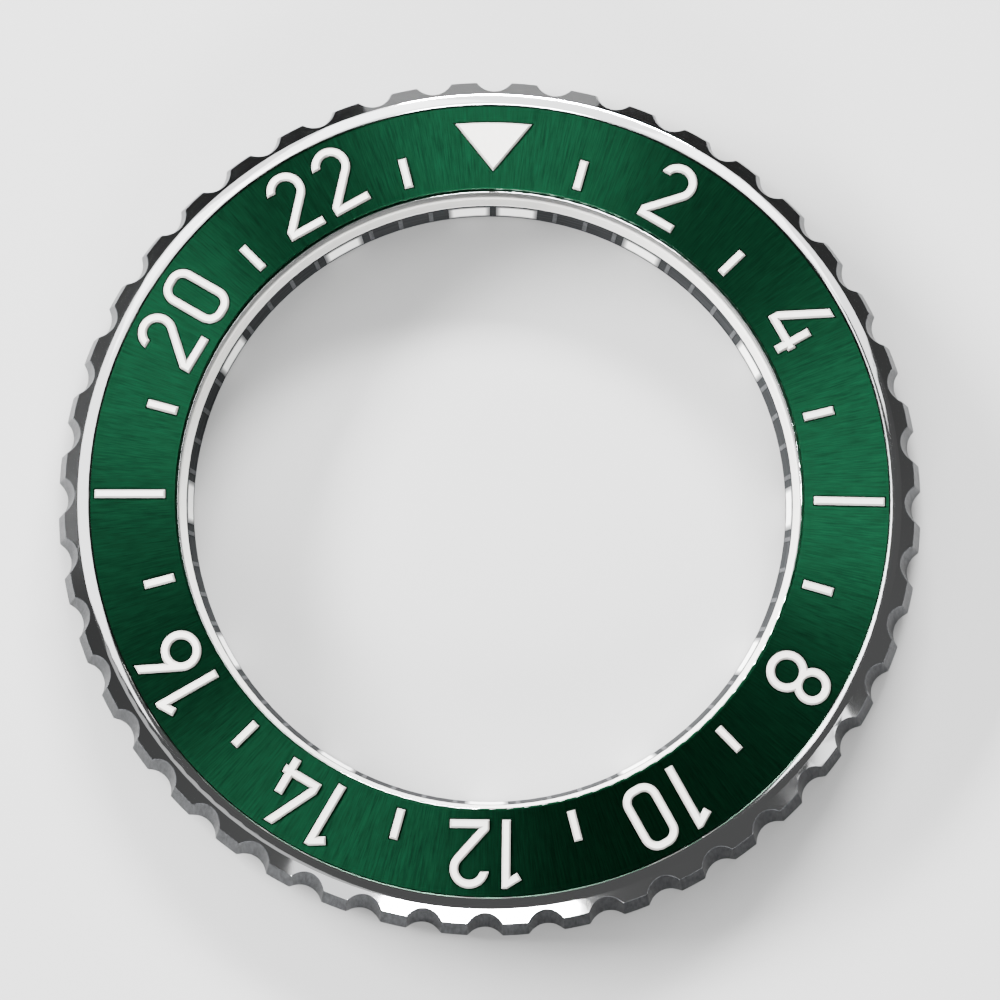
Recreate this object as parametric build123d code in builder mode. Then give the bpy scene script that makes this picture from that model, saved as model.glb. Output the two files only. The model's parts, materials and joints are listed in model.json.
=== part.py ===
"""Rotating 24-hour watch bezel on its fixed seat ring. Millimetres, +Z out of the dial, +Y to 12 o'clock.

The origin is the centre of the seat ring's underside. The seat ring, inner flange, gaskets and
retaining wire stay with the watch case. The knurled ring, its green insert and the hour markers turn
on the seat ring's neck, and sprung balls in the seat ring click into the toothed ring above them.
"""
import os
from math import acos, atan2, cos, degrees, hypot, pi, radians, sin, sqrt, tan

from build123d import *

os.makedirs("parts", exist_ok=True)

# Green insert
insert_outer_r = 19.0
insert_width = 4.07
insert_thickness = 0.75
insert_edge_break = 0.04
face_angle_deg = 4.0
pocket_depth = 0.30

# Adhesive under the insert
adhesive_gap = 0.05
adhesive_skin = 0.01
adhesive_margin = 0.25

# Knurled bezel ring
insert_gap = 0.06
lip_gap = 0.02
lip_wall = 0.10
lip_height = 0.40
floor_thickness = 0.45
rim_width = 0.54
rim_edge = 0.04
rim_slopes_deg = [9.0, 12.5, 17.0, 21.5, 26.0]
flank_width = 0.67
flank_rise = 0.52
skirt_flare = 0.38
skirt_height = 2.0
skirt_wall = 1.35
skirt_foot = 0.12
collar_wall = 0.60
collar_height = 1.0
scallop_count = 44
scallop_depth = 0.42
scallop_r = 1.04
edge_round = 0.05

# Toothed click ring and its sprung balls
click_count = 24
click_ring_thickness = 0.45
click_ring_width = 1.5
ball_count = 3
ball_r = 0.50
ball_rise = 0.15
ball_gap = 0.05
click_gap = 0.15
spring_wire_r = 0.06
spring_side_gap = 0.07
spring_turns = 2.25
spring_top_gap = 0.03
ball_well_floor = 0.22
ball_well_wall = 0.20

# Seat ring, which is fixed to the watch case
spigot_height = 0.40
spigot_step = 0.60
flange_thickness = 0.95
side_gap = 0.15
turning_gap = 0.10
under_gap = 0.10
neck_wall = 1.33
trench_floor = 0.80
seal_groove_width = 0.50
seal_groove_depth = 0.45
seal_skin = 0.01
seal_wall = 0.98

# Retaining wire between neck and collar
wire_r = 0.20
wire_skin = 0.01
wire_play = 0.06
wire_split_deg = 14.0

# Friction gasket on top of the neck
friction_width = 0.46
friction_inset = 0.40
friction_depth = 0.15
friction_skin = 0.02
friction_top_gap = 0.03

# Inner flange and crystal gasket
crystal_gap = 0.02
crystal_ledge = 0.28
flange_lean = 0.31
flange_height = 1.15
gasket_wall = 0.16
gasket_foot = 0.20
gasket_top_drop = 0.05
press_skin = 0.02

# Minute track on the inner flange
mark_recess = 0.04
mark_proud = 0.02
mark_skin = 0.01
mark_margin = 0.11
hour_count = 12
minute_count = 60
hour_block_deg = 8.2
top_block_deg = 7.9
top_split_deg = 1.2
minute_mark_deg = 0.8

# Markers let into the insert
marker_gap = 0.06
marker_seat_gap = 0.02
marker_proud = 0.08
marker_bevel = 0.08
cut_overrun = 0.5
tick_count = 12
tick_start_deg = 15.0
bar_6_deg = 90.0
bar_18_deg = 270.0
tick_width = 0.39
tick_inner_inset = 0.51
tick_length = 1.47
bar_inner_inset = 0.49
bar_outer_inset = 0.21
triangle_half_width = 1.83
triangle_tip_inset = 0.87
triangle_top_inset = 0.81

# Numerals, drawn one unit high: their sizes are shares of the height that the two insets leave
number_base_inset = 0.45
number_top_inset = 0.37
hours_count = 24
number_texts = ["2", "4", "8", "10", "12", "14", "16", "20", "22"]
stroke_share = 0.123
gap_share = 0.188
gap_shares = {"10": 0.234, "14": 0.206}
shift_shares = {"4": -0.031}
one_width_share = 0.288
one_flag_run_share = 0.211
one_flag_drop_share = 0.131
two_width_share = 0.569
two_hook_drop_share = 0.243
two_heel_share = 0.028
four_width_share = 0.595
four_peak_share = 0.335
four_heel_share = 0.157
four_bar_base_share = 0.145
four_bar_end_share = 0.043
four_stem_top_share = 0.563
six_width_share = 0.591
six_peak_share = 0.308
eight_base_r_share = 0.303
eight_top_r_share = 0.269
zero_width_share = 0.566
zero_corner_share = 0.246

# Radii that follow
insert_inner_r = insert_outer_r - insert_width
marker_circle_r = (insert_inner_r + insert_outer_r) / 2
lip_outer_r = insert_inner_r - lip_gap
lip_inner_r = lip_outer_r - lip_wall
crystal_seat_r = lip_inner_r - crystal_gap
flange_top_r = crystal_seat_r - crystal_ledge
opening_r = flange_top_r - flange_lean
rim_inner_r = insert_outer_r + insert_gap
crease_r = rim_inner_r + rim_width
land_r = crease_r + flank_width
skirt_r = land_r + skirt_flare
hollow_r = skirt_r - skirt_wall
seat_flange_r = hollow_r - side_gap
spigot_r = seat_flange_r - spigot_step
gasket_outer_r = crystal_seat_r + gasket_wall
neck_inner_r = gasket_outer_r + press_skin
neck_outer_r = neck_inner_r + neck_wall
collar_inner_r = neck_outer_r + turning_gap
collar_outer_r = collar_inner_r + collar_wall
trench_outer_r = collar_outer_r + turning_gap
ball_well_r = ball_r + ball_gap
ball_circle_r = spigot_r - ball_well_wall - ball_well_r
wire_circle_r = (neck_outer_r + collar_inner_r) / 2
seal_inner_r = neck_inner_r + seal_wall
friction_inner_r = neck_inner_r + friction_inset

# Heights that follow
bezel_base_z = spigot_height + under_gap
seat_top_z = spigot_height + flange_thickness
click_base_z = seat_top_z + click_gap
underside_z = click_base_z + click_ring_thickness
neck_top_z = underside_z - under_gap
ball_z = click_base_z + ball_rise - ball_r
seat_z = flange_height + gasket_foot
gasket_top_z = neck_top_z - gasket_top_drop
collar_base_z = underside_z - collar_height
wire_z = (collar_base_z + neck_top_z) / 2
floor_z = underside_z + floor_thickness
face_mid_z = floor_z + adhesive_gap + insert_thickness
land_z = bezel_base_z + skirt_height
crease_z = land_z + flank_rise
rim_bands = list(zip(rim_slopes_deg, rim_slopes_deg[1:]))
rim_band_width = (rim_width - rim_edge) / len(rim_bands)
rim_rise = sum(rim_band_width * tan(radians((a + b) / 2)) for a, b in rim_bands)
rim_top_z = crease_z + rim_rise
draft_deg = degrees(atan2(skirt_flare, skirt_height))


def cone_z(r, mid_z):
    """Height at radius r of a cone that is parallel to the insert's face."""
    return mid_z - (r - marker_circle_r) * tan(radians(face_angle_deg))


def turned(*points):
    """Ring turned about Z from a closed outline of radius and height pairs."""
    with BuildSketch(Plane.XZ) as section:
        Polygon(*points, align=None)
    revolve(section.sketch, axis=Axis.Z)


def finish(part, name):
    part.label = name
    export_step(part, f"parts/{name}.step")


def spoke_plane(angle_deg, r, z, lean_deg=0.0):
    """Plane at a clock angle from 12, x clockwise, y outward, its normal leaning outward."""
    a, lean = radians(angle_deg), radians(lean_deg)
    return Plane(
        origin=(r * sin(a), r * cos(a), z),
        x_dir=(cos(a), -sin(a), 0),
        z_dir=(sin(a) * sin(lean), cos(a) * sin(lean), cos(lean)),
    )


def section_plane(angle_deg):
    """Plane through Z at a clock angle from 12, x outward and y up."""
    spoke = spoke_plane(angle_deg, 0, 0)
    return Plane(origin=(0, 0, 0), x_dir=spoke.y_dir, z_dir=spoke.x_dir)


def marker_plane(angle_deg):
    return spoke_plane(angle_deg, marker_circle_r, face_mid_z, face_angle_deg)


# Outlines of the markers, drawn with the marker circle at y = 0
band_base = insert_inner_r - marker_circle_r
number_height = insert_width - number_base_inset - number_top_inset


def toward(center, radius, angle):
    return (center[0] + radius * cos(angle), center[1] + radius * sin(angle))


def tangent_angle(center, radius, point, side):
    """Direction from a circle's centre to where a line from the point touches it."""
    run, rise = point[0] - center[0], point[1] - center[1]
    return atan2(rise, run) + side * acos(radius / hypot(run, rise))


def draw_triangle():
    top_r = insert_outer_r - triangle_top_inset
    corner_y = sqrt(top_r**2 - triangle_half_width**2) - marker_circle_r
    left, right = (-triangle_half_width, corner_y), (triangle_half_width, corner_y)
    tip = (0, band_base + triangle_tip_inset)
    with BuildLine() as outline:
        Polyline(left, tip, right)
        ThreePointArc(right, (0, top_r - marker_circle_r), left)
    make_face(outline.edges())


def draw_stick(inset, length):
    with Locations((0, band_base + inset + length / 2)):
        Rectangle(tick_width, length)


def draw_bar():
    draw_stick(bar_inner_inset, insert_width - bar_inner_inset - bar_outer_inset)


def draw_tick():
    draw_stick(tick_inner_inset, tick_length)


def draw_zero(left):
    hole_width = zero_width_share - 2 * stroke_share
    with Locations((left + zero_width_share / 2, 1 / 2)):
        RectangleRounded(zero_width_share, 1, zero_corner_share)
        RectangleRounded(
            hole_width, 1 - 2 * stroke_share, zero_corner_share - stroke_share, mode=Mode.SUBTRACT
        )


def draw_one(left):
    right = left + one_width_share
    slope = atan2(one_flag_drop_share, one_flag_run_share)
    tip = (left, 1 - one_flag_drop_share)
    heel = (tip[0] + stroke_share * sin(slope), tip[1] - stroke_share * cos(slope))
    stem_left = right - stroke_share
    Polygon(
        (right, 0),
        (right, 1),
        (left + one_flag_run_share, 1),
        tip,
        heel,
        (stem_left, heel[1] + (stem_left - heel[0]) * tan(slope)),
        (stem_left, 0),
        align=None,
    )


def draw_two(left):
    outer_r = two_width_share / 2
    inner_r = outer_r - stroke_share
    bowl = (left + outer_r, 1 - outer_r)
    hook_y = 1 - two_hook_drop_share
    hook_rise = hook_y - bowl[1]
    hook_outer = (bowl[0] - sqrt(outer_r**2 - hook_rise**2), hook_y)
    hook_inner = (bowl[0] - sqrt(inner_r**2 - hook_rise**2), hook_y)
    heel = (left, stroke_share + two_heel_share)
    angle = tangent_angle(bowl, inner_r, heel, 1)
    leg_outer = toward(bowl, outer_r, angle)
    leg_inner = toward(bowl, inner_r, angle)
    crotch = (leg_outer[0] + (leg_outer[1] - stroke_share) * tan(angle), stroke_share)
    with BuildLine() as outline:
        ThreePointArc(hook_outer, toward(bowl, outer_r, pi / 2), leg_outer)
        Polyline(
            leg_outer,
            crotch,
            (left + two_width_share, stroke_share),
            (left + two_width_share, 0),
            (left, 0),
            heel,
            leg_inner,
        )
        ThreePointArc(leg_inner, toward(bowl, inner_r, pi / 2), hook_inner)
        Line(hook_inner, hook_outer)
    make_face(outline.edges())


def draw_four(left):
    right = left + four_width_share
    bar_top = four_bar_base_share + stroke_share
    heel_y = four_bar_base_share + four_heel_share
    lean = atan2(four_peak_share, 1 - heel_y)
    across = stroke_share / cos(lean)
    peak = left + four_peak_share
    Polygon(
        (left, four_bar_base_share),
        (right, four_bar_base_share),
        (right, bar_top),
        (left + across + (bar_top - heel_y) * tan(lean), bar_top),
        (peak + across, 1),
        (peak, 1),
        (left, heel_y),
        align=None,
    )
    stem_x = right - four_bar_end_share - stroke_share / 2
    with Locations((stem_x, four_stem_top_share / 2)):
        Rectangle(stroke_share, four_stem_top_share)


def draw_six(left):
    outer_r = six_width_share / 2
    inner_r = outer_r - stroke_share
    bowl = (left + outer_r, outer_r)
    peak = (left + six_peak_share, 1)
    angle = tangent_angle(bowl, outer_r, peak, 1)
    touch = toward(bowl, outer_r, angle)
    foot = toward(bowl, inner_r, angle)
    joint = toward(foot, sqrt(outer_r**2 - inner_r**2), angle - pi / 2)
    peak_right = (peak[0] - stroke_share / cos(angle), 1)
    with BuildLine() as outline:
        Line(peak, touch)
        ThreePointArc(touch, toward(bowl, outer_r, -pi / 2), joint)
        Polyline(joint, peak_right, peak)
    make_face(outline.edges())
    with Locations(bowl):
        Circle(inner_r, mode=Mode.SUBTRACT)


def draw_eight(left):
    places = [
        (eight_base_r_share, eight_base_r_share),
        (eight_top_r_share, 1 - eight_top_r_share),
    ]
    for radius, y in places:
        with Locations((left + eight_base_r_share, y)):
            Circle(radius)
    for radius, y in places:
        with Locations((left + eight_base_r_share, y)):
            Circle(radius - stroke_share, mode=Mode.SUBTRACT)


digit_tools = {
    "0": (draw_zero, zero_width_share),
    "1": (draw_one, one_width_share),
    "2": (draw_two, two_width_share),
    "4": (draw_four, four_width_share),
    "6": (draw_six, six_width_share),
    "8": (draw_eight, 2 * eight_base_r_share),
}


def draw_number(text):
    """The digits of an hour, centred on its spoke."""
    gap = gap_shares.get(text, gap_share)
    widths = [digit_tools[digit][1] for digit in text]
    left = shift_shares.get(text, 0) - (sum(widths) + gap * (len(text) - 1)) / 2
    with BuildSketch() as unit:
        for digit, width in zip(text, widths):
            digit_tools[digit][0](left)
            left += width + gap
    with Locations((0, band_base + number_base_inset)):
        add(scale(unit.sketch, by=number_height, mode=Mode.PRIVATE))


markers = [
    ("triangle_24", [0], draw_triangle),
    ("bar_6", [bar_6_deg], draw_bar),
    ("bar_18", [bar_18_deg], draw_bar),
    ("hour_ticks", [tick_start_deg + i * 360 / tick_count for i in range(tick_count)], draw_tick),
]
for text in number_texts:
    angle = int(text) * 360 / hours_count
    markers.append((f"number_{text}", [angle], lambda text=text: draw_number(text)))


def edges_on(part, top):
    """Edges of one marker's top face."""
    found = []
    for edge in part.edges():
        spot = top.to_local_coords(edge.center())
        if abs(spot.Z) < marker_bevel / 2 and hypot(spot.X, spot.Y) < insert_width:
            found.append(edge)
    return found


# Markers, each a bevelled inlay that stands a little proud of the insert
for name, angles, draw in markers:
    with BuildPart() as marker:
        for angle in angles:
            plane = marker_plane(angle)
            seat = marker_seat_gap - pocket_depth
            with BuildSketch(plane.offset(seat)):
                draw()
            extrude(amount=marker_proud - seat)
        for angle in angles:
            chamfer(edges_on(marker, marker_plane(angle).offset(marker_proud)), marker_bevel)
    finish(marker.part, name)

# Insert with a pocket for each marker
with BuildPart() as insert:
    turned(
        (insert_inner_r, cone_z(insert_inner_r, face_mid_z - insert_thickness)),
        (insert_outer_r, cone_z(insert_outer_r, face_mid_z - insert_thickness)),
        (insert_outer_r, cone_z(insert_outer_r, face_mid_z)),
        (insert_inner_r, cone_z(insert_inner_r, face_mid_z)),
    )
    chamfer(insert.edges().group_by(Axis.Z)[-1], insert_edge_break)
    for name, angles, draw in markers:
        for angle in angles:
            with BuildSketch(marker_plane(angle).offset(cut_overrun)):
                draw()
                offset(amount=marker_gap, kind=Kind.INTERSECTION)
            extrude(amount=-(cut_overrun + pocket_depth), mode=Mode.SUBTRACT)
finish(insert.part, "insert")

# Adhesive ring between the insert and the bezel ring's floor
with BuildPart() as insert_adhesive:
    inner, outer = insert_inner_r + adhesive_margin, insert_outer_r - adhesive_margin
    low, high = floor_z + adhesive_skin, floor_z + adhesive_gap - adhesive_skin
    turned(
        (inner, cone_z(inner, low)),
        (outer, cone_z(outer, low)),
        (outer, cone_z(outer, high)),
        (inner, cone_z(inner, high)),
    )
finish(insert_adhesive.part, "insert_adhesive")


def draw_rim(start):
    """Crowned rim, drawn outward in bands that steepen from one slope to the next."""
    for inner_deg, outer_deg in rim_bands:
        chord = radians((inner_deg + outer_deg) / 2)
        end = (start[0] + rim_band_width, start[1] - rim_band_width * tan(chord))
        crown = rim_band_width / 2 / cos(chord) * tan(radians(outer_deg - inner_deg) / 4)
        middle = (
            (start[0] + end[0]) / 2 + crown * sin(chord),
            (start[1] + end[1]) / 2 + crown * cos(chord),
        )
        ThreePointArc(start, middle, end)
        start = end


def grip_edges(ring):
    """Edges of the lands and scallops, from below the rim's crease to just above the skirt's foot."""
    foot_z = bezel_base_z + skirt_foot + edge_round
    found = []
    for edge in ring.edges():
        ends = [edge @ 0, edge @ 1]
        outside = all(hypot(end.X, end.Y) > crease_r + edge_round for end in ends)
        below_crease = all(end.Z < crease_z for end in ends)
        if outside and below_crease and any(end.Z > foot_z for end in ends):
            found.append(edge)
    return found


# Knurled bezel ring: rim, flank, drafted skirt with scallops, floor, lip and retaining collar
with BuildPart() as bezel_ring:
    lip_z = cone_z(lip_outer_r, floor_z)
    lip_top_z = lip_z + lip_height
    lip_round = lip_wall / 2
    rim_start = (rim_inner_r + rim_edge, rim_top_z)
    crease = (crease_r, crease_z)
    with BuildSketch(Plane.XZ):
        with BuildLine():
            draw_rim(rim_start)
            Polyline(
                crease,
                (land_r, land_z),
                (skirt_r, bezel_base_z + skirt_foot),
                (skirt_r - skirt_foot, bezel_base_z),
                (hollow_r, bezel_base_z),
                (hollow_r, underside_z),
                (collar_outer_r, underside_z),
                (collar_outer_r, collar_base_z),
                (collar_inner_r, collar_base_z),
                (collar_inner_r, underside_z),
                (lip_inner_r, underside_z),
                (lip_inner_r, lip_top_z - lip_round),
            )
            ThreePointArc(
                (lip_inner_r, lip_top_z - lip_round),
                (lip_inner_r + lip_round, lip_top_z),
                (lip_outer_r, lip_top_z - lip_round),
            )
            Polyline(
                (lip_outer_r, lip_top_z - lip_round),
                (lip_outer_r, lip_z),
                (rim_inner_r, cone_z(rim_inner_r, floor_z)),
                (rim_inner_r, rim_top_z - rim_edge),
                rim_start,
            )
        make_face()
    revolve(axis=Axis.Z)
    with BuildSketch(Plane.XZ):
        with Locations((wire_circle_r, wire_z)):
            Circle(wire_r + wire_play)
    revolve(axis=Axis.Z, mode=Mode.SUBTRACT)
    cutter_r = land_r - scallop_depth + scallop_r
    scallops = [
        spoke_plane(i * 360 / scallop_count, cutter_r, land_z, -draft_deg)
        for i in range(scallop_count)
    ]
    with Locations(*scallops):
        Cylinder(scallop_r, 3 * skirt_height, mode=Mode.SUBTRACT)
    fillet(grip_edges(bezel_ring), edge_round)
finish(bezel_ring.part, "bezel_ring")

# Click ring with its radial notches, set up against the underside of the bezel ring's floor
with BuildPart() as click_ring:
    inner = ball_circle_r - click_ring_width / 2
    outer = ball_circle_r + click_ring_width / 2
    turned((inner, click_base_z), (outer, click_base_z), (outer, underside_z), (inner, underside_z))
    notches = [
        Plane(origin=spoke_plane(i * 360 / click_count, ball_circle_r, ball_z).origin,
              z_dir=spoke_plane(i * 360 / click_count, ball_circle_r, ball_z).y_dir)
        for i in range(click_count)
    ]
    with Locations(*notches):
        Cylinder(ball_r + ball_gap, 2 * click_ring_width, mode=Mode.SUBTRACT)
finish(click_ring.part, "click_ring")

# Seat ring with neck, trench for the collar, ball wells and seal grooves
with BuildPart() as seat_ring:
    turned(
        (neck_inner_r, 0),
        (spigot_r, 0),
        (spigot_r, spigot_height),
        (seat_flange_r, spigot_height),
        (seat_flange_r, seat_top_z),
        (trench_outer_r, seat_top_z),
        (trench_outer_r, trench_floor),
        (neck_outer_r, trench_floor),
        (neck_outer_r, neck_top_z),
        (neck_inner_r, neck_top_z),
    )
    with BuildSketch(Plane.XZ):
        with Locations((wire_circle_r, wire_z)):
            Circle(wire_r + wire_skin)
        with Locations((seal_inner_r + seal_groove_width / 2, seal_groove_depth / 2)):
            Rectangle(seal_groove_width, seal_groove_depth)
        with Locations((friction_inner_r + friction_width / 2, neck_top_z)):
            Rectangle(friction_width + 2 * friction_skin, 2 * friction_depth)
    revolve(axis=Axis.Z, mode=Mode.SUBTRACT)
    wells = [
        spoke_plane(i * 360 / ball_count, ball_circle_r, (ball_well_floor + seat_top_z) / 2)
        for i in range(ball_count)
    ]
    with Locations(*wells):
        Cylinder(ball_well_r, seat_top_z - ball_well_floor, mode=Mode.SUBTRACT)
finish(seat_ring.part, "seat_ring")

# Seal ring in the groove under the seat ring
with BuildPart() as case_seal:
    with BuildSketch(Plane.XZ):
        with Locations((seal_inner_r + seal_groove_width / 2, seal_groove_depth / 2)):
            Circle(seal_groove_depth / 2 - seal_skin)
    revolve(axis=Axis.Z)
finish(case_seal.part, "case_seal")

# Split spring wire that keeps the bezel ring on the neck
with BuildPart() as retaining_wire:
    with BuildSketch(Plane.XZ):
        with Locations((wire_circle_r, wire_z)):
            Circle(wire_r)
    revolve(axis=Axis.Z, revolution_arc=360 - wire_split_deg)
finish(retaining_wire.part, "retaining_wire")

# Friction gasket in the top of the neck
with BuildPart() as friction_gasket:
    low, high = neck_top_z - friction_depth, underside_z - friction_top_gap
    inner, outer = friction_inner_r, friction_inner_r + friction_width
    turned((inner, low), (outer, low), (outer, high), (inner, high))
finish(friction_gasket.part, "friction_gasket")

# Crystal gasket: a foot under the crystal's edge and a wall around it
with BuildPart() as crystal_gasket:
    turned(
        (flange_top_r, flange_height),
        (gasket_outer_r, flange_height),
        (gasket_outer_r, gasket_top_z),
        (crystal_seat_r, gasket_top_z),
        (crystal_seat_r, seat_z),
        (flange_top_r, seat_z),
    )
finish(crystal_gasket.part, "crystal_gasket")


def flange_r(z):
    """Radius of the inner flange's sloping face at height z."""
    return opening_r + (flange_top_r - opening_r) * z / flange_height


def revolve_marks(centers, width_deg, near, far, mode=Mode.ADD):
    """Patches of the flange's face at the clock angles given, between two depths behind it."""
    low, high = mark_margin, flange_height - mark_margin
    sections = []
    for center in centers:
        with BuildSketch(section_plane(center + width_deg / 2)) as section:
            Polygon(
                (flange_r(low) + near, low),
                (flange_r(low) + far, low),
                (flange_r(high) + far, high),
                (flange_r(high) + near, high),
                align=None,
            )
        sections.append(section.sketch)
    revolve(sections, axis=Axis.Z, revolution_arc=width_deg, mode=mode)


hour_step = 360 / hour_count
minute_step = 360 / minute_count
top_offset = (top_split_deg + top_block_deg) / 2
top_spots = [-top_offset, top_offset]
hour_spots = [i * hour_step for i in range(1, hour_count)]
minute_spots = [
    i * minute_step
    for i in range(2, minute_count - 1)
    if i % (minute_count // hour_count)
]

# Inner flange with a shallow recess for each mark of the minute track
with BuildPart() as inner_flange:
    turned(
        (opening_r, 0),
        (gasket_outer_r, 0),
        (gasket_outer_r, flange_height),
        (flange_top_r, flange_height),
    )
    skin_deg = 2 * degrees(mark_skin / opening_r)
    for spots, width_deg in (
        (top_spots, top_block_deg),
        (hour_spots, hour_block_deg),
        (minute_spots, minute_mark_deg),
    ):
        revolve_marks(spots, width_deg + skin_deg, -cut_overrun, mark_recess, Mode.SUBTRACT)
finish(inner_flange.part, "inner_flange")

with BuildPart() as hour_blocks:
    revolve_marks(top_spots, top_block_deg, -mark_proud, mark_recess - mark_skin)
    revolve_marks(hour_spots, hour_block_deg, -mark_proud, mark_recess - mark_skin)
finish(hour_blocks.part, "hour_blocks")

with BuildPart() as minute_marks:
    revolve_marks(minute_spots, minute_mark_deg, -mark_proud, mark_recess - mark_skin)
finish(minute_marks.part, "minute_marks")

# Sprung balls in the wells of the seat ring
spring_r = ball_well_r - spring_side_gap - spring_wire_r
spring_top_z = ball_z - sqrt(ball_r**2 - spring_r**2) - spring_wire_r - spring_top_gap
spring_height = spring_top_z - ball_well_floor - 2 * spring_wire_r
for i in range(ball_count):
    spot = spoke_plane(i * 360 / ball_count, ball_circle_r, 0)
    with BuildPart() as click_ball:
        with Locations((spot.origin.X, spot.origin.Y, ball_z)):
            Sphere(ball_r)
    finish(click_ball.part, f"click_ball_{i + 1}")

    with BuildPart() as click_spring:
        base = Vector(spot.origin.X, spot.origin.Y, ball_well_floor + spring_wire_r)
        with BuildLine() as coil:
            Helix(spring_height / spring_turns, spring_height, spring_r, center=base)
        with BuildSketch(Plane(origin=coil.line @ 0, z_dir=coil.line % 0)):
            Circle(spring_wire_r)
        sweep(path=coil.line, is_frenet=True)
    finish(click_spring.part, f"click_spring_{i + 1}")
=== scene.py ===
"""A rotating 24-hour watch bezel in polished steel with a green insert, on its seat ring.

Metres, in the part's own frame: +Z out of the dial, +Y to 12 o'clock, the origin on the underside.
"""
import bmesh
import bpy
import json
from math import cos, pi, radians, sin, tan
from mathutils import Matrix, Vector


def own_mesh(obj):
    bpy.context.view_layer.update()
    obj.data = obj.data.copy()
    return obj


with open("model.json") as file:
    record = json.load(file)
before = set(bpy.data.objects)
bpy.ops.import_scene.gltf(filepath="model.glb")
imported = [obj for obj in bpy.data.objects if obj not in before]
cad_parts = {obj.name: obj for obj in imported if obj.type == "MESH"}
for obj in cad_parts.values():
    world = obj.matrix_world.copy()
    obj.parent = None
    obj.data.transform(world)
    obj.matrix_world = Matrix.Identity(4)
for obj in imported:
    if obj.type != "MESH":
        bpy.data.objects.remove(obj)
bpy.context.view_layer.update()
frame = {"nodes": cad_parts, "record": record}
nodes = frame["nodes"]
mm = 0.001


def hex_color(text):
    """An sRGB hex colour as linear RGBA."""
    channels = [int(text[i:i + 2], 16) / 255 for i in (1, 3, 5)]
    linear = [c / 12.92 if c <= 0.04045 else ((c + 0.055) / 1.055) ** 2.4 for c in channels]
    return (*linear, 1.0)


# Camera: a long lens above the dial, leaning towards 6 o'clock
tilt, roll = radians(8.404), radians(0.601)
lens_mm, sensor_mm = 239.7, 36
dial_z = 3.2 * mm
aside, above, away = 0.492 * mm, -0.120 * mm, 316.5 * mm
right = Vector((cos(roll), sin(roll), 0))
up = Vector((-sin(roll) * cos(tilt), cos(roll) * cos(tilt), sin(tilt)))
back = Vector((sin(roll) * sin(tilt), -cos(roll) * sin(tilt), cos(tilt)))
camera = bpy.data.objects.new("camera", bpy.data.cameras.new("camera"))
camera.data.sensor_width = sensor_mm
camera.data.lens = lens_mm
camera.data.clip_start, camera.data.clip_end = 0.01, 20
stand = Vector((0, 0, dial_z)) + aside * right + above * up + away * back
camera.matrix_world = Matrix((
    (right.x, up.x, back.x, stand.x),
    (right.y, up.y, back.y, stand.y),
    (right.z, up.z, back.z, stand.z),
    (0, 0, 0, 1),
))
bpy.context.scene.collection.objects.link(camera)
bpy.context.scene.camera = camera


def add_node(tree, kind, settings=None, values=None, links=None):
    """Adds a node with its settings, its sockets' values and its links {socket: (node, output)}."""
    node = tree.nodes.new("ShaderNode" + kind)
    for key, value in (settings or {}).items():
        setattr(node, key, value)
    for key, value in (values or {}).items():
        node.inputs[key].default_value = value
    for key, (source, output) in (links or {}).items():
        tree.links.new(source.outputs[output], node.inputs[key])
    return node


def start_material(name, color, metallic, roughness, **more):
    """A Principled material, as (material, tree, shader, coordinate)."""
    material = bpy.data.materials.new(name)
    material.use_nodes = True
    tree = material.node_tree
    shader = tree.nodes["Principled BSDF"]
    values = {"Base Color": hex_color(color), "Metallic": metallic, "Roughness": roughness}
    for key, value in {**values, **more}.items():
        shader.inputs[key].default_value = value
    return material, tree, shader, add_node(tree, "TexCoord")


def follow_ring(tree, coordinate, around, outward, upward):
    """Pattern coordinates that follow a ring of mean radius ring_r.

    One unit is the given length around the ring, outward along its spokes and up its axis.
    """
    flat = add_node(tree, "VectorMath", {"operation": "MULTIPLY"}, {1: (1, 1, 0)},
                    {0: (coordinate, "Object")})
    spoke = add_node(tree, "VectorMath", {"operation": "NORMALIZE"}, links={0: (flat, 0)})
    turn = add_node(tree, "VectorMath", {"operation": "SCALE"}, {"Scale": ring_r / around},
                    {0: (spoke, 0)})
    reach = add_node(tree, "VectorMath", {"operation": "LENGTH"}, links={0: (flat, 0)})
    height = add_node(tree, "SeparateXYZ", links={0: (coordinate, "Object")})
    run = add_node(tree, "Math", {"operation": "MULTIPLY"}, {1: 1 / outward},
                   {0: (reach, "Value")})
    rise = add_node(tree, "Math", {"operation": "MULTIPLY_ADD"}, {1: 1 / upward},
                    {0: (height, "Z"), 2: (run, 0)})
    lift = add_node(tree, "CombineXYZ", links={"Z": (rise, 0)})
    return add_node(tree, "VectorMath", {"operation": "ADD"}, links={0: (turn, 0), 1: (lift, 0)})


# Sizes that the patterns follow: the ring's mean radius, where the grip starts, the angle between
# 12 o'clock and each of its two blocks, and the height of the minute track's middle
ring_r = 17 * mm
grip_r = 19.5 * mm
pair_deg = 4.55
hour_deg = 30
track_z = 0.575 * mm
far = 1.0  # a pattern stretched this long is the same all the way
mirror_rough, satin_rough = 0.06, 0.25
grain_range = {"From Min": 0.3, "From Max": 0.7}  # what a noise texture's values mostly lie in

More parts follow.
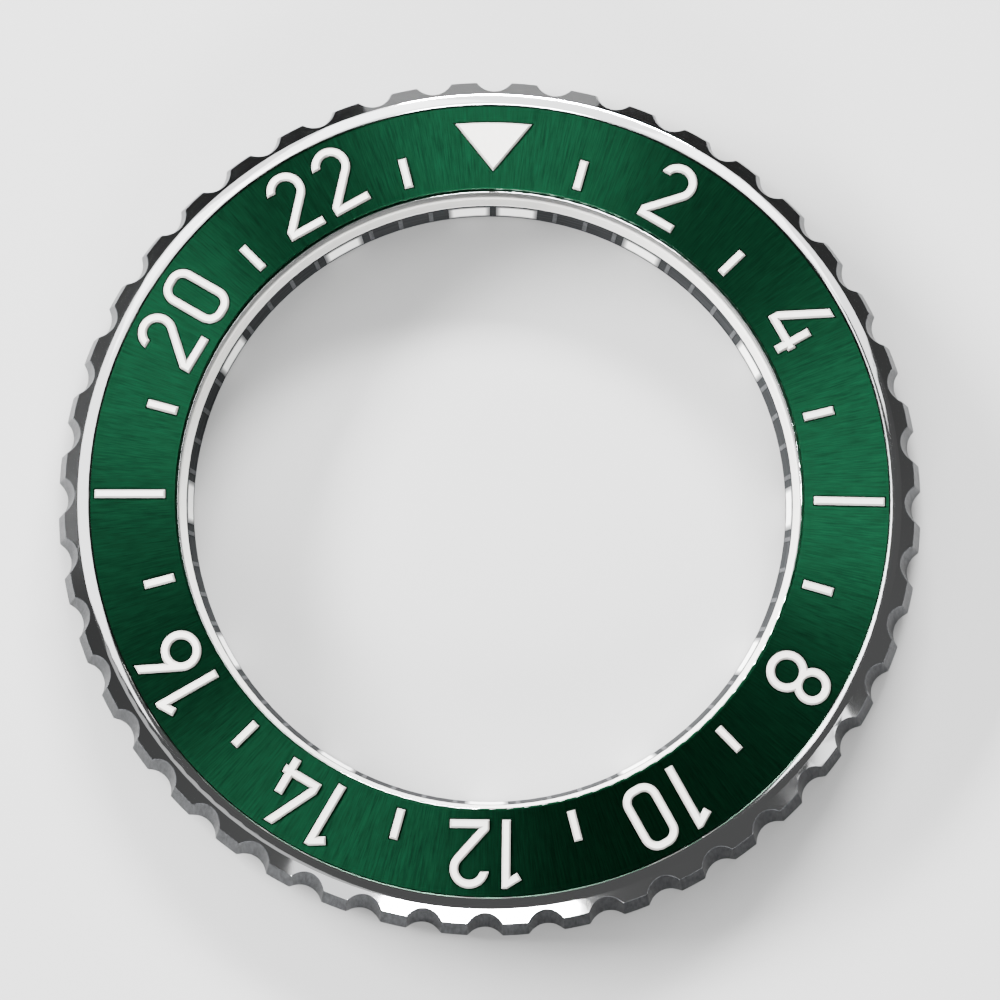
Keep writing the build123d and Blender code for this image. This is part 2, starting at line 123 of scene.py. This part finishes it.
# Mirror-polished stainless steel, with the milled grip and the wall round the crystal left satin:
# the rim, flank and lip give clean reflections. The upright faces of the grip get a duller, darker
# grey base colour, painted shade for the darker surroundings they reflect, streaked from top to
# bottom by cutter marks, drawn 0.1 mm wide; the wall gets painted shade the same way, ringed by
# turning lines, drawn 0.12 mm apart. Both sets of marks are about twice as coarse as real ones, so
# that they show.
steel, tree, shader, coordinate = start_material(
    "polished_steel", "#eff0f1", 1.0, mirror_rough, **{"Specular Tint": hex_color("#bcbcbc")})
faces = add_node(tree, "SeparateXYZ", links={0: (coordinate, "Normal")})
outside = add_node(tree, "VectorMath", {"operation": "LENGTH"}, links={0: (coordinate, "Object")})
# Mask of the upright faces, which get painted shade: a darker base colour in place of the darker
# surroundings they reflect
upright = add_node(tree, "MapRange", values={"From Min": 0.77, "From Max": 0.66},
                   links={"Value": (faces, "Z")})
passes = follow_ring(tree, coordinate, 0.1 * mm, 0.1 * mm, 1.6 * mm)
cutter = add_node(tree, "TexNoise", values={"Scale": 1.0, "Detail": 4.0, "Roughness": 0.6},
                  links={"Vector": (passes, 0)})
streaked = add_node(tree, "MapRange", values=grain_range, links={"Value": (cutter, "Fac")})
# Painted shade on the grip's upright faces: dark greys, streaked by the real cutter marks
milled_painted_shade = add_node(tree, "Mix", {"data_type": "RGBA"},
                  {6: hex_color("#3c3d3f"), 7: hex_color("#717376")}, {"Factor": (streaked, 0)})
lathe = follow_ring(tree, coordinate, 8 * mm, far, 0.12 * mm)
lines = add_node(tree, "TexNoise", values={"Scale": 1.0, "Detail": 2.0},
                 links={"Vector": (lathe, 0)})
ringed = add_node(tree, "MapRange", values=grain_range, links={"Value": (lines, "Fac")})
# Painted shade on the wall round the crystal: darker greys, ringed by the real turning lines
bored_painted_shade = add_node(tree, "Mix", {"data_type": "RGBA"},
                 {6: hex_color("#4a4b4d"), 7: hex_color("#b4b6b8")}, {"Factor": (ringed, 0)})
beyond = add_node(tree, "Math", {"operation": "GREATER_THAN"}, {1: grip_r},
                  {0: (outside, "Value")})
satin_painted_shade = add_node(tree, "Mix", {"data_type": "RGBA"},
                 links={"Factor": (beyond, 0), 6: (bored_painted_shade, 2), 7: (milled_painted_shade, 2)})
# Upright faces take the painted-shade greys; the rest keeps the light polished colour
tint = add_node(tree, "Mix", {"data_type": "RGBA"}, {6: hex_color("#eff0f1")},
                {"Factor": (upright, 0), 7: (satin_painted_shade, 2)})
tree.links.new(tint.outputs[2], shader.inputs["Base Color"])
spread = add_node(tree, "MapRange", values={"To Min": mirror_rough, "To Max": satin_rough},
                  links={"Value": (upright, 0)})
tree.links.new(spread.outputs["Result"], shader.inputs["Roughness"])

# Fine-turned stainless steel: concentric tool marks 0.05 mm apart, that draw light into arcs
turned, tree, shader, coordinate = start_material("turned_steel", "#b4b6b8", 1.0, 0.28)
lathe = follow_ring(tree, coordinate, 6 * mm, 0.05 * mm, 0.05 * mm)
marks = add_node(tree, "TexNoise", values={"Scale": 1.0, "Detail": 3.0},
                 links={"Vector": (lathe, 0)})
spread = add_node(tree, "MapRange", values={**grain_range, "To Min": 0.2, "To Max": 0.36},
                  links={"Value": (marks, "Fac")})
tree.links.new(spread.outputs["Result"], shader.inputs["Roughness"])
bump = add_node(tree, "Bump", values={"Strength": 0.4, "Distance": 0.002 * mm},
                links={"Height": (marks, "Fac")})
tree.links.new(bump.outputs["Normal"], shader.inputs["Normal"])

# Drawn and ground spring steel: a greyer shine, streaked at the 0.15 mm of its drawing marks
spring, tree, shader, coordinate = start_material("spring_steel", "#a5a8ab", 1.0, 0.18)
drawn = add_node(tree, "TexNoise", values={"Scale": 1 / (0.15 * mm), "Detail": 2.0},
                 links={"Vector": (coordinate, "Object")})
spread = add_node(tree, "MapRange", values={**grain_range, "To Min": 0.12, "To Max": 0.26},
                  links={"Value": (drawn, "Fac")})
tree.links.new(spread.outputs["Result"], shader.inputs["Roughness"])

# Green anodised aluminium, brushed outwards from the centre and sealed: near black until light
# falls across the scratches, then a deep green glow in four sectors, and a silvery green sheen at a
# low angle. The scratches are drawn 0.06 mm wide and 1.2 mm long, about twice the real width, so
# that they show.
green, tree, shader, coordinate = start_material(
    "green_anodised_aluminium", "#072517", 1.0, 0.45, Anisotropic=0.925,
    **{"Specular Tint": hex_color("#c5e2d1")})
tangent = add_node(tree, "Tangent", {"direction_type": "RADIAL", "axis": "Z"})
tree.links.new(tangent.outputs[0], shader.inputs["Tangent"])
sunray = follow_ring(tree, coordinate, 0.06 * mm, 1.2 * mm, far)
scratches = add_node(tree, "TexNoise", values={"Scale": 1.0, "Detail": 4.0, "Roughness": 0.7},
                     links={"Vector": (sunray, 0)})
depth = add_node(tree, "MapRange", values=grain_range, links={"Value": (scratches, "Fac")})
tint = add_node(tree, "Mix", {"data_type": "RGBA"},
                {6: hex_color("#051b10"), 7: hex_color("#0a2f1d")}, {"Factor": (depth, 0)})
tree.links.new(tint.outputs[2], shader.inputs["Base Color"])
spread = add_node(tree, "MapRange", values={"To Min": 0.41, "To Max": 0.49},
                  links={"Value": (depth, 0)})
tree.links.new(spread.outputs["Result"], shader.inputs["Roughness"])
bump = add_node(tree, "Bump", values={"Strength": 0.3, "Distance": 0.002 * mm},
                links={"Height": (scratches, "Fac")})
tree.links.new(bump.outputs["Normal"], shader.inputs["Normal"])

# Warm white lacquer in the numerals: a soft satin face with the faintest 0.3 mm mottle, and painted
# shade on the bevels, a greyer base colour on the sloping faces, which outlines each numeral
lacquer, tree, shader, coordinate = start_material("white_lacquer", "#cfcdc8", 0.0, 0.35)
mottle = add_node(tree, "TexNoise", values={"Scale": 1 / (0.3 * mm), "Detail": 4.0},
                  links={"Vector": (coordinate, "Object")})
face = add_node(tree, "Mix", {"data_type": "RGBA"},
                {6: hex_color("#c6c4bf"), 7: hex_color("#d7d5d0")}, {"Factor": (mottle, "Fac")})
faces = add_node(tree, "SeparateXYZ", links={0: (coordinate, "Normal")})
# Mask of the sloping bevel faces, which get painted shade
bevel_painted_shade = add_node(tree, "MapRange", values={"From Min": 0.97, "From Max": 0.85},
                 links={"Value": (faces, "Z")})
# Painted shade: the bevels take a grey in place of the white
tint = add_node(tree, "Mix", {"data_type": "RGBA"}, {7: hex_color("#8f8d89")},
                {"Factor": (bevel_painted_shade, 0), 6: (face, 2)})
tree.links.new(tint.outputs[2], shader.inputs["Base Color"])
bump = add_node(tree, "Bump", values={"Strength": 0.3, "Distance": 0.003 * mm},
                links={"Height": (mottle, "Fac")})
tree.links.new(bump.outputs["Normal"], shader.inputs["Normal"])

# White printed lacquer of the minute track: flat, slightly matt, with a 0.2 mm grain, and thinner
# towards the edges of each block, where the grey under it shows through. A point's angle from the
# nearest block's middle is folded out of its clock angle; the two blocks at 12 have their own.
print_white, tree, shader, coordinate = start_material(
    "printed_white_lacquer", "#e6e6e4", 0.0, 0.5)
spot = add_node(tree, "SeparateXYZ", links={0: (coordinate, "Object")})
turn = add_node(tree, "Math", {"operation": "ARCTAN2"}, links={0: (spot, "X"), 1: (spot, "Y")})
turn_deg = add_node(tree, "Math", {"operation": "DEGREES"}, links={0: (turn, 0)})
clock = add_node(tree, "Math", {"operation": "ABSOLUTE"}, links={0: (turn_deg, 0)})
from_hour = add_node(tree, "Math", {"operation": "PINGPONG"}, {1: hour_deg / 2},
                     {0: (clock, 0)})
from_pair = add_node(tree, "Math", {"operation": "SUBTRACT"}, {1: pair_deg}, {0: (clock, 0)})
beside = add_node(tree, "Math", {"operation": "ABSOLUTE"}, links={0: (from_pair, 0)})
past_pair = add_node(tree, "Math", {"operation": "GREATER_THAN"}, {1: hour_deg / 3},
                     {0: (clock, 0)})
off_side = add_node(tree, "Mix",
                    links={"Factor": (past_pair, 0), 2: (beside, 0), 3: (from_hour, 0)})
level = add_node(tree, "Math", {"operation": "SUBTRACT"}, {1: track_z}, {0: (spot, "Z")})
off_middle = add_node(tree, "Math", {"operation": "ABSOLUTE"}, links={0: (level, 0)})
thick_across = add_node(tree, "MapRange", values={"From Min": 4.15, "From Max": 3.0},
                        links={"Value": (off_side, 0)})
thick_up = add_node(tree, "MapRange", values={"From Min": 0.475 * mm, "From Max": 0.33 * mm},
                    links={"Value": (off_middle, 0)})
thickness = add_node(tree, "Math", {"operation": "MULTIPLY"},
                     links={0: (thick_across, 0), 1: (thick_up, 0)})
cover = add_node(tree, "Math", {"operation": "POWER"}, {1: 2.5}, {0: (thickness, 0)})
tint = add_node(tree, "Mix", {"data_type": "RGBA"},
                {6: hex_color("#48494a"), 7: hex_color("#e6e6e4")}, {"Factor": (cover, 0)})
tree.links.new(tint.outputs[2], shader.inputs["Base Color"])
grain = add_node(tree, "TexNoise", values={"Scale": 1 / (0.2 * mm), "Detail": 3.0},
                 links={"Vector": (coordinate, "Object")})
spread = add_node(tree, "MapRange", values={**grain_range, "To Min": 0.42, "To Max": 0.6},
                  links={"Value": (grain, "Fac")})
tree.links.new(spread.outputs["Result"], shader.inputs["Roughness"])

# Thin grey printed lacquer of the minute marks, mottled by the same 0.2 mm grain
print_grey, tree, shader, coordinate = start_material(
    "printed_grey_lacquer", "#353638", 0.0, 0.6, **{"Specular IOR Level": 0.1})
grain = add_node(tree, "TexNoise", values={"Scale": 1 / (0.2 * mm), "Detail": 3.0},
                 links={"Vector": (coordinate, "Object")})
depth = add_node(tree, "MapRange", values=grain_range, links={"Value": (grain, "Fac")})
tint = add_node(tree, "Mix", {"data_type": "RGBA"},
                {6: hex_color("#2c2d2e"), 7: hex_color("#3f4042")}, {"Factor": (depth, 0)})
tree.links.new(tint.outputs[2], shader.inputs["Base Color"])

# Dark grey satin lacquer over the turned flange: the lathe lines, 0.045 mm apart, still show
# through as faint rings of lighter and darker grey
flange, tree, shader, coordinate = start_material(
    "satin_grey_lacquer", "#1d1d1e", 0.0, 0.6, **{"Specular IOR Level": 0.02})
lathe = follow_ring(tree, coordinate, 8 * mm, far, 0.045 * mm)
lines = add_node(tree, "TexNoise", values={"Scale": 1.0, "Detail": 3.0},
                 links={"Vector": (lathe, 0)})
depth = add_node(tree, "MapRange", values=grain_range, links={"Value": (lines, "Fac")})
tint = add_node(tree, "Mix", {"data_type": "RGBA"},
                {6: hex_color("#131415"), 7: hex_color("#2b2c2d")}, {"Factor": (depth, 0)})
tree.links.new(tint.outputs[2], shader.inputs["Base Color"])
bump = add_node(tree, "Bump", values={"Strength": 0.4, "Distance": 0.003 * mm},
                links={"Height": (lines, "Fac")})
tree.links.new(bump.outputs["Normal"], shader.inputs["Normal"])

# Moulded off-white nylon: a waxy, slightly uneven face with a 0.4 mm moulding texture
nylon, tree, shader, coordinate = start_material("moulded_white_nylon", "#dcdbd8", 0.0, 0.42)
grain = add_node(tree, "TexNoise", values={"Scale": 1 / (0.4 * mm), "Detail": 3.0},
                 links={"Vector": (coordinate, "Object")})
spread = add_node(tree, "MapRange", values={**grain_range, "To Min": 0.36, "To Max": 0.5},
                  links={"Value": (grain, "Fac")})
tree.links.new(spread.outputs["Result"], shader.inputs["Roughness"])

# Moulded nitrile rubber: black and dull, with a 0.35 mm bloom
rubber, tree, shader, coordinate = start_material("nitrile_rubber", "#1b1c1d", 0.0, 0.6)
bloom = add_node(tree, "TexNoise", values={"Scale": 1 / (0.35 * mm), "Detail": 3.0},
                 links={"Vector": (coordinate, "Object")})
spread = add_node(tree, "MapRange", values={**grain_range, "To Min": 0.5, "To Max": 0.72},
                  links={"Value": (bloom, "Fac")})
tree.links.new(spread.outputs["Result"], shader.inputs["Roughness"])

# Grey adhesive film: a plain satin grey with 0.4 mm glue streaks
film, tree, shader, coordinate = start_material("adhesive_film", "#8d8f90", 0.0, 0.55)
streaks = add_node(tree, "TexNoise", values={"Scale": 1 / (0.4 * mm), "Detail": 3.0},
                   links={"Vector": (coordinate, "Object")})
spread = add_node(tree, "MapRange", values={**grain_range, "To Min": 0.48, "To Max": 0.65},
                  links={"Value": (streaks, "Fac")})
tree.links.new(spread.outputs["Result"], shader.inputs["Roughness"])

finishes = {
    "polished_steel": steel, "turned_steel": turned, "spring_steel": spring, "green_metal": green,
    "marker_white": lacquer, "track_white": print_white, "track_grey": print_grey,
    "flange_grey": flange, "white_nylon": nylon, "black_rubber": rubber, "adhesive": film,
}
slots = {row["node"]: row["material_slot"] for row in frame["record"]["subparts"]}
for name, node in nodes.items():
    node.data.materials.clear()
    node.data.materials.append(finishes[slots[name]])

# The coil springs stand on their wells' floors; each gets a mesh of its own
for number in (1, 2, 3):
    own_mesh(nodes[f"click_spring_{number}"])

# Floor: a wide sheet of pale matt card, a hair under the seat ring
floor_half, floor_drop = 1.5, 0.01 * mm
sheet = bmesh.new()
bmesh.ops.create_grid(sheet, x_segments=1, y_segments=1, size=floor_half)
bmesh.ops.translate(sheet, verts=sheet.verts, vec=(0, 0, -floor_drop))
floor_mesh = bpy.data.meshes.new("floor")
sheet.to_mesh(floor_mesh)
sheet.free()
floor = bpy.data.objects.new("floor", floor_mesh)
bpy.context.scene.collection.objects.link(floor)
card, tree, shader, coordinate = start_material("pale_card", "#a6a6a6", 0.0, 0.9)
floor_mesh.materials.append(card)


def softbox(name, clock_deg, zenith_deg, around_deg, upright_deg, distance, brightness):
    """A lamp at a clock angle and an angle from the vertical, sized by the angles that it fills."""
    clock, zenith = radians(clock_deg), radians(zenith_deg)
    outward = Vector((sin(clock) * sin(zenith), cos(clock) * sin(zenith), cos(zenith)))
    data = bpy.data.lights.new(name, "AREA")
    data.shape = "RECTANGLE"
    data.size = 2 * distance * tan(radians(around_deg) / 2)
    data.size_y = 2 * distance * tan(radians(upright_deg) / 2)
    data.energy = brightness * pi * data.size * data.size_y
    sideways = Vector((cos(clock), -sin(clock), 0))
    upright = outward.cross(sideways)
    lamp = bpy.data.objects.new(name, data)
    lamp.matrix_world = Matrix((
        (sideways.x, upright.x, outward.x, outward.x * distance),
        (sideways.y, upright.y, outward.y, outward.y * distance),
        (sideways.z, upright.z, outward.z, outward.z * distance),
        (0, 0, 0, 1),
    ))
    bpy.context.scene.collection.objects.link(lamp)


# Studio. The two softboxes light the brushing, the scrims whiten the rim above them, the strip and
# the softbox on the right whiten its other slopes, and the cards put soft patches on the flank.
softbox("softbox_top", 6.4, 64, 31, 7, 0.5, 290.0)
softbox("softbox_left", 292, 68, 39, 7.9, 0.5, 270.0)
softbox("scrim_top", 6, 43, 48, 34, 0.55, 3.0)
softbox("scrim_left", 294, 39, 46, 34, 0.55, 3.0)
softbox("scrim_corner", 331, 48, 36, 30, 0.6, 2.4)
softbox("scrim_right", 40, 46, 30, 26, 0.6, 2.4)
softbox("softbox_right", 78, 22, 34, 9, 0.5, 6.0)
softbox("strip_front", 181, 70, 28.6, 14, 0.5, 70.0)
softbox("card_far", 358, 84, 28, 9, 0.5, 0.35)
softbox("card_right", 121, 77, 16, 6, 0.5, 2.5)
softbox("card_near", 228, 45, 45, 9, 0.5, 0.5)
softbox("card_left", 204, 69, 15, 12, 0.5, 1.4)

# The room behind the lamps: a soft grey in front and overhead, near black to the back and the left
world = bpy.data.worlds.new("studio")
world.use_nodes = True
tree = world.node_tree
direction = add_node(tree, "TexCoord")
ahead = add_node(tree, "VectorMath", {"operation": "DOT_PRODUCT"}, {1: (0.3, -0.7, 0.5)},
                 {0: (direction, "Generated")})
room = add_node(tree, "MapRange",
                values={"From Min": -0.4, "From Max": 0.5, "To Min": 0.02, "To Max": 0.09},
                links={"Value": (ahead, "Value")})
background = tree.nodes["Background"]
background.inputs["Color"].default_value = (1, 1, 1, 1)
tree.links.new(room.outputs["Result"], background.inputs["Strength"])
bpy.context.scene.world = world
